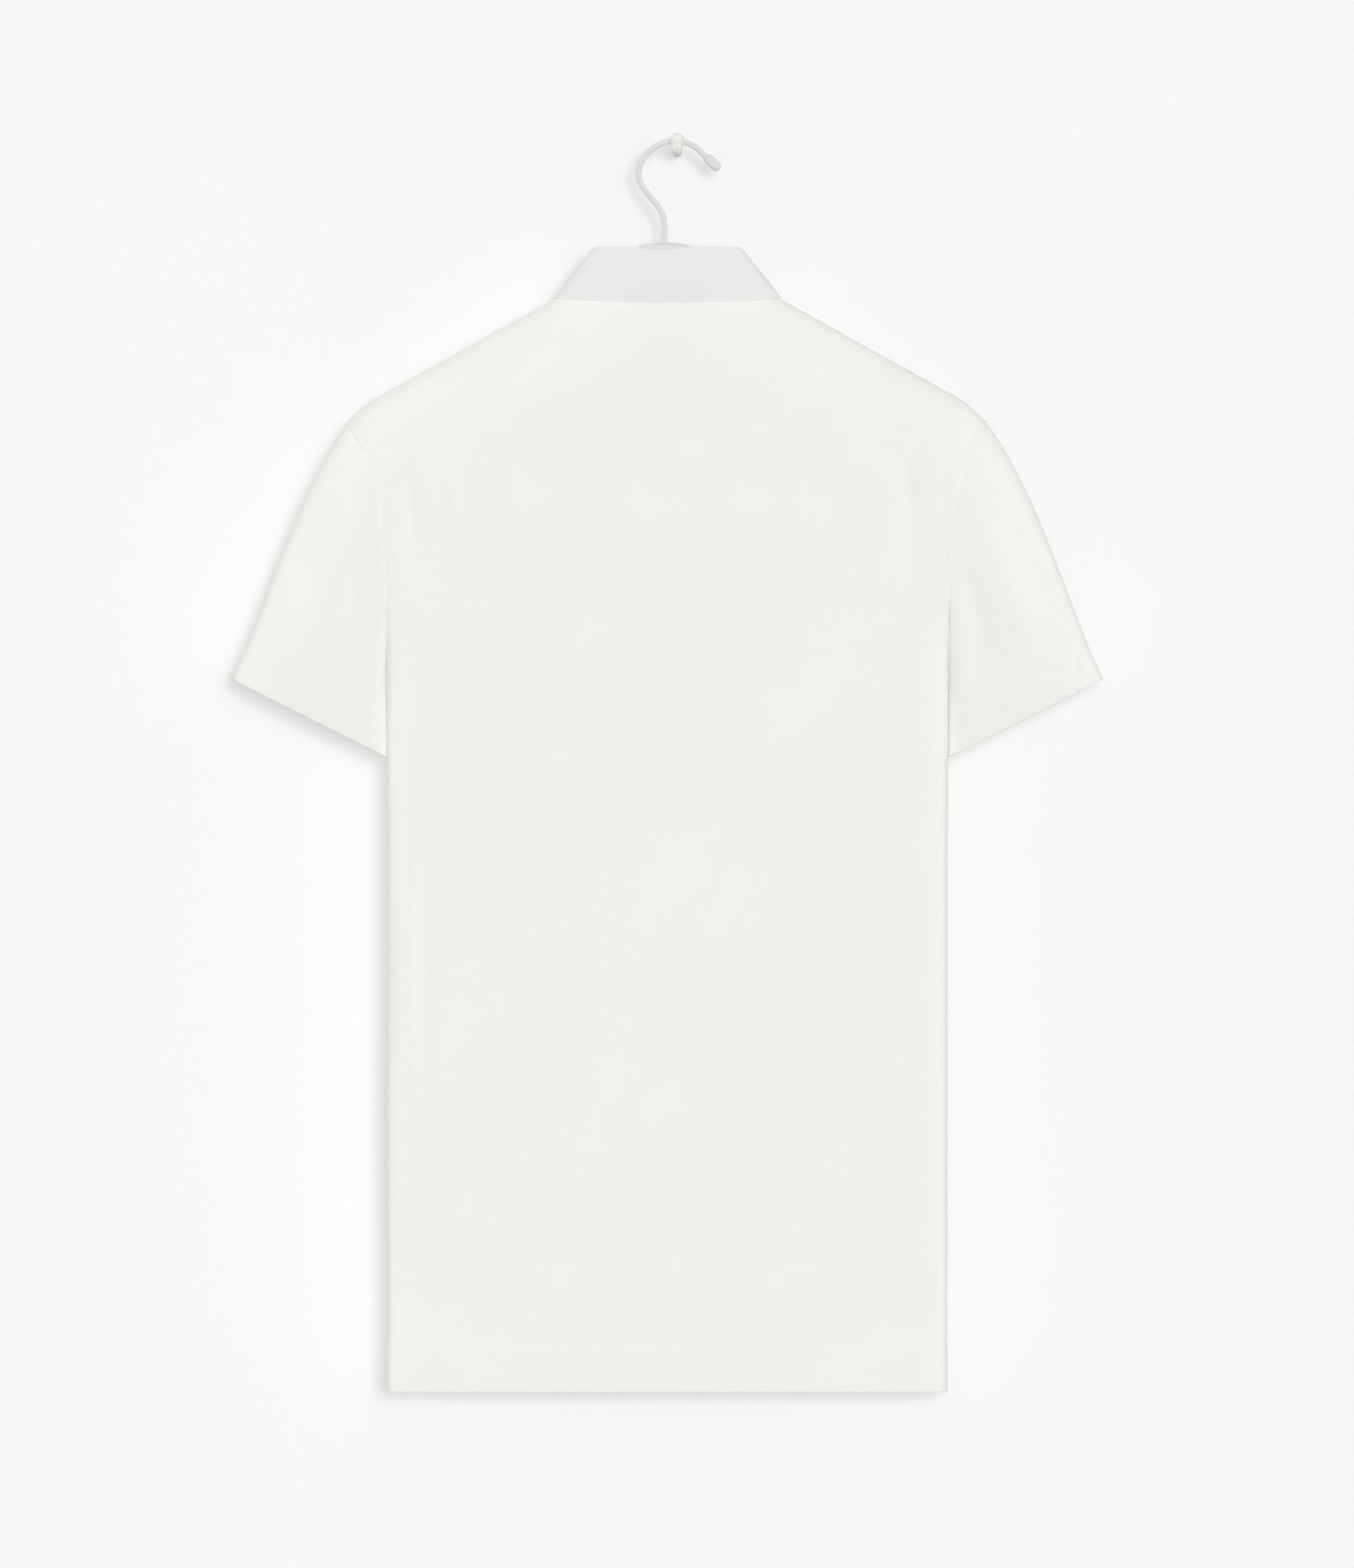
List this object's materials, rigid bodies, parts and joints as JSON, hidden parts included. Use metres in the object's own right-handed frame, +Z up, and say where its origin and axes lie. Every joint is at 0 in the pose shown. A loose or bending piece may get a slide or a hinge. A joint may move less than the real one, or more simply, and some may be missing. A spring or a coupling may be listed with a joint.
{
  "type": "short-sleeved linen shirt on a hanger and wall peg",
  "caption": "Short-sleeved button-through linen shirt with a turned-down collar and back yoke, hung flat on a wire-hook hanger from a round wall peg.",
  "frame": {"origin": "the middle of the peg's flat face on the wall", "axes": "+Z up, +X towards the wearer's right, +Y into the wall; the shirt's front faces the wall and its back faces -Y"},
  "size_m": [0.62, 0.0675, 0.8977],
  "materials": {
    "linen": "matt off-white plain-weave linen",
    "collar_linen": "matt off-white linen, stiffened, a little cooler",
    "button": "milky resin",
    "hanger": "satin white plastic",
    "hook_wire": "white coated wire",
    "peg_paint": "rough white paint"
  },
  "bodies": {
    "root": {"back_panel": "linen", "back_yoke": "linen", "front_left": "linen", "front_right": "linen", "front_placket": "linen", "sleeve_left": "linen", "sleeve_right": "linen", "collar_stand": "collar_linen", "collar_leaf": "collar_linen", "button_stand": "button", "button_1": "button", "button_2": "button", "button_3": "button", "button_4": "button", "button_5": "button", "button_6": "button", "hanger_arms": "hanger", "hanger_cap": "hanger", "hanger_hook": "hook_wire", "wall_peg": "peg_paint"}
  },
  "joints": []
}
